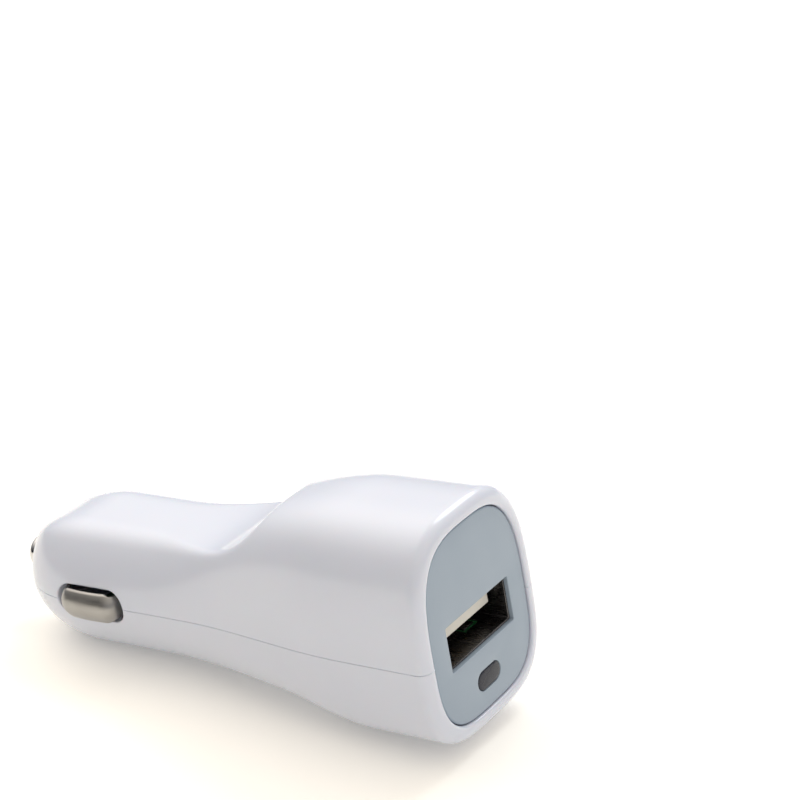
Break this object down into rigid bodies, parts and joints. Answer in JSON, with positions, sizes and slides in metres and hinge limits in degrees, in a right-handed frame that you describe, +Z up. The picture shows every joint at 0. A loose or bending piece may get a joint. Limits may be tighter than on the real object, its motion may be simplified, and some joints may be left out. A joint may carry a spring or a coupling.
{
  "type": "car usb charger plug",
  "caption": "White car charger with a 12 V plug, sprung tip and side contacts, a thumb rest and one USB-A port with an indicator window.",
  "frame": {"origin": "centre of the flat nose of the housing, on the plug axis", "axes": "+X along the plug axis towards the USB port, +Z up through the thumb rest, +Y across; it lies on its belly"},
  "size_m": [0.071, 0.0238, 0.0278],
  "materials": {
    "housing_white": "glossy moulded white ABS",
    "plate_grey": "satin blue-grey moulded plate",
    "window_smoke": "smoked translucent window",
    "shield_steel": "nickel-plated folded sheet",
    "tongue_cream": "cream moulded insulator",
    "contact_gold": "gold-flashed contact",
    "tip_chrome": "polished nickel plate",
    "spring_steel": "drawn spring wire",
    "contact_nickel": "nickel-plated spring leaf",
    "board_green": "solder-masked board",
    "can_sleeve": "aluminium can",
    "ferrite": "ferrite drum",
    "winding_copper": "enamelled copper wire",
    "chip_black": "black moulded package",
    "light_clear": "clear epoxy",
    "ceramic_tan": "ceramic chip"
  },
  "bodies": {
    "housing": {"upper_shell": "housing_white", "lower_shell": "housing_white", "face_plate": "plate_grey", "light_window": "window_smoke", "usb_shield": "shield_steel", "usb_tongue": "tongue_cream", "usb_contact_1": "contact_gold", "usb_contact_2": "contact_gold", "usb_contact_3": "contact_gold", "usb_contact_4": "contact_gold", "tip_spring": "spring_steel", "tip_terminal": "contact_nickel", "circuit_board": "board_green", "input_capacitor": "can_sleeve", "output_capacitor": "can_sleeve", "inductor_core": "ferrite", "inductor_winding": "winding_copper", "converter_chip": "chip_black", "flyback_diode": "chip_black", "indicator_light": "light_clear", "light_resistor": "chip_black", "feedback_resistor_1": "chip_black", "feedback_resistor_2": "chip_black", "boost_capacitor": "ceramic_tan", "input_filter_capacitor": "ceramic_tan"},
    "tip": {"tip_contact": "tip_chrome"},
    "left_contact": {"side_contact_left": "contact_nickel"},
    "right_contact": {"side_contact_right": "contact_nickel"}
  },
  "joints": [
    {"name": "tip_press", "type": "slide", "parent": "housing", "child": "tip", "axis": [1, 0, 0], "range_m": [0, 0.0035], "stiffness_N_per_m": 1200, "springref_m": -0.002, "deforming": ["tip_spring"]},
    {"name": "left_contact_press", "type": "hinge", "parent": "housing", "child": "left_contact", "pos_m": [0.02575, 0.0075, 0], "axis": [0, 0, 1], "range_deg": [0, 6.5], "stiffness_Nm_per_rad": 0.4, "springref_deg": -1.72},
    {"name": "right_contact_press", "type": "hinge", "parent": "housing", "child": "right_contact", "pos_m": [0.02575, -0.0075, 0], "axis": [0, 0, -1], "range_deg": [0, 6.5], "stiffness_Nm_per_rad": 0.4, "springref_deg": -1.72}
  ]
}
